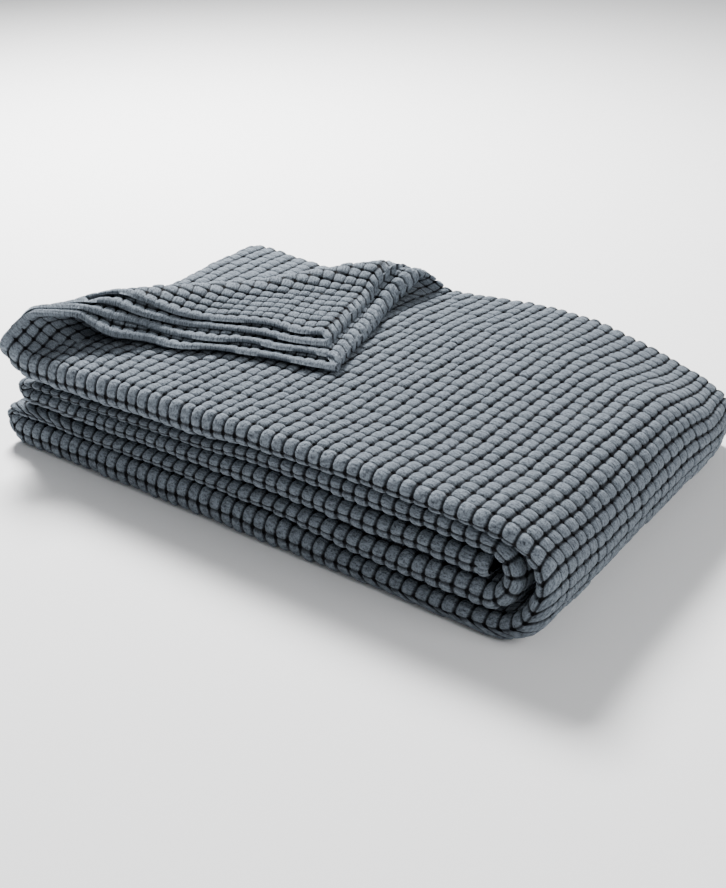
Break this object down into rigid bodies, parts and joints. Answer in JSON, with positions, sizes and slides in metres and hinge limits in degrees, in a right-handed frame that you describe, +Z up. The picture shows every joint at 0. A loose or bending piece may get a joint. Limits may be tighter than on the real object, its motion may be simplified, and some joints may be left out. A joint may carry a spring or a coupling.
{
  "type": "folded bedspread",
  "caption": "Woven slate-blue bedspread with a puffy waffle surface, folded to a neat pile with one corner turned back.",
  "frame": {"origin": "on the surface that the pile rests on, under the middle of its outer box", "axes": "+X along the pile's long side to the end where the outer layers wrap round, +Z up; the round front folds face -Y"},
  "size_m": [0.6332, 0.4036, 0.1461],
  "materials": {
    "cotton": "matte, puffed and crinkled"
  },
  "bodies": {
    "root": {"bedspread": "cotton"}
  },
  "joints": []
}
